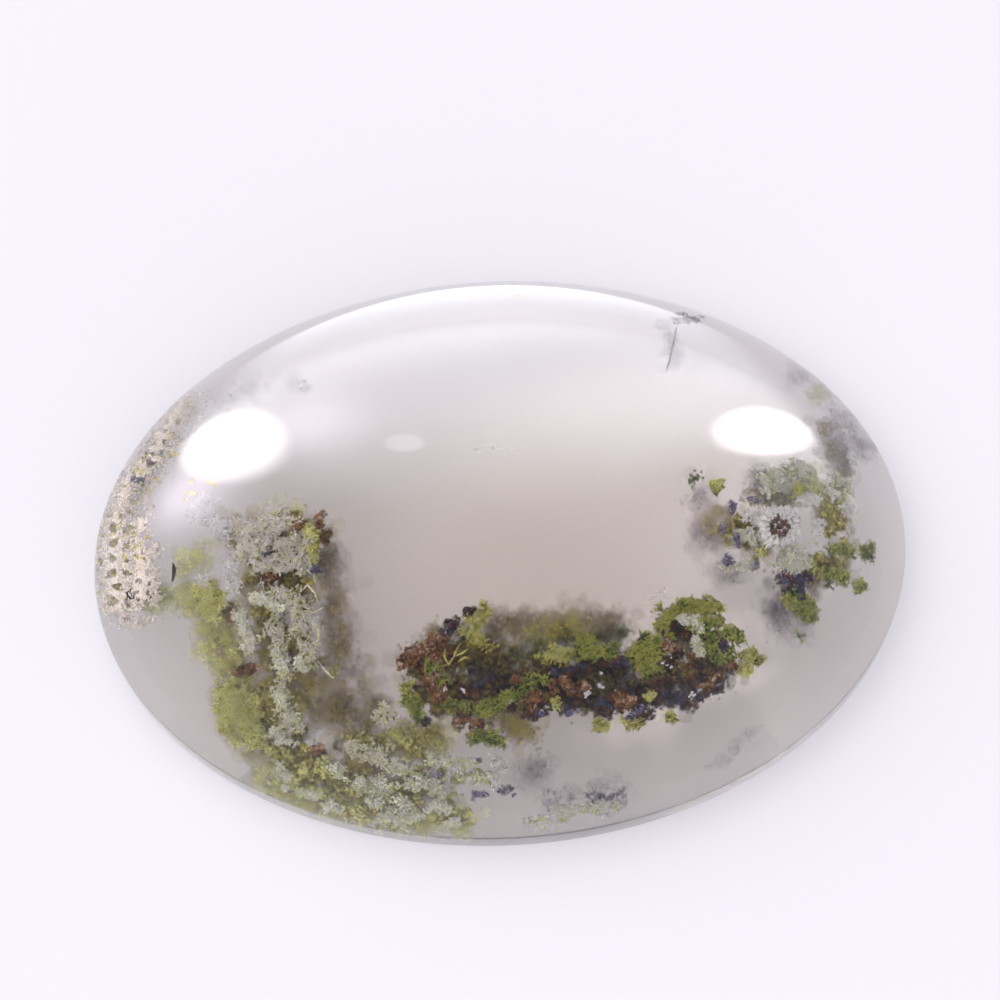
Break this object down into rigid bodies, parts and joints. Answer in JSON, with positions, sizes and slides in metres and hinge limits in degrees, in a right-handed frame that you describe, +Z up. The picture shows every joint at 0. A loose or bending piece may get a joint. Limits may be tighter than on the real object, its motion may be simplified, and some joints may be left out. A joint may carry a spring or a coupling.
{
  "type": "moss agate cabochon",
  "caption": "Oval domed polished stone with a flat back, milky and see-through, with green, rust and pale moss-like growths inside. It rests on its back or sits in a bezel.",
  "frame": {"origin": "centre of the flat back, on the surface that the stone lies on", "axes": "+X along the length of the oval, +Y across it, +Z up out of the dome"},
  "size_m": [0.03, 0.0216, 0.0068],
  "materials": {
    "agate": "polished",
    "green_moss": "matte",
    "rusty_moss": "matte",
    "pale_crust": "matte"
  },
  "bodies": {
    "root": {"cabochon": "agate"}
  },
  "joints": []
}
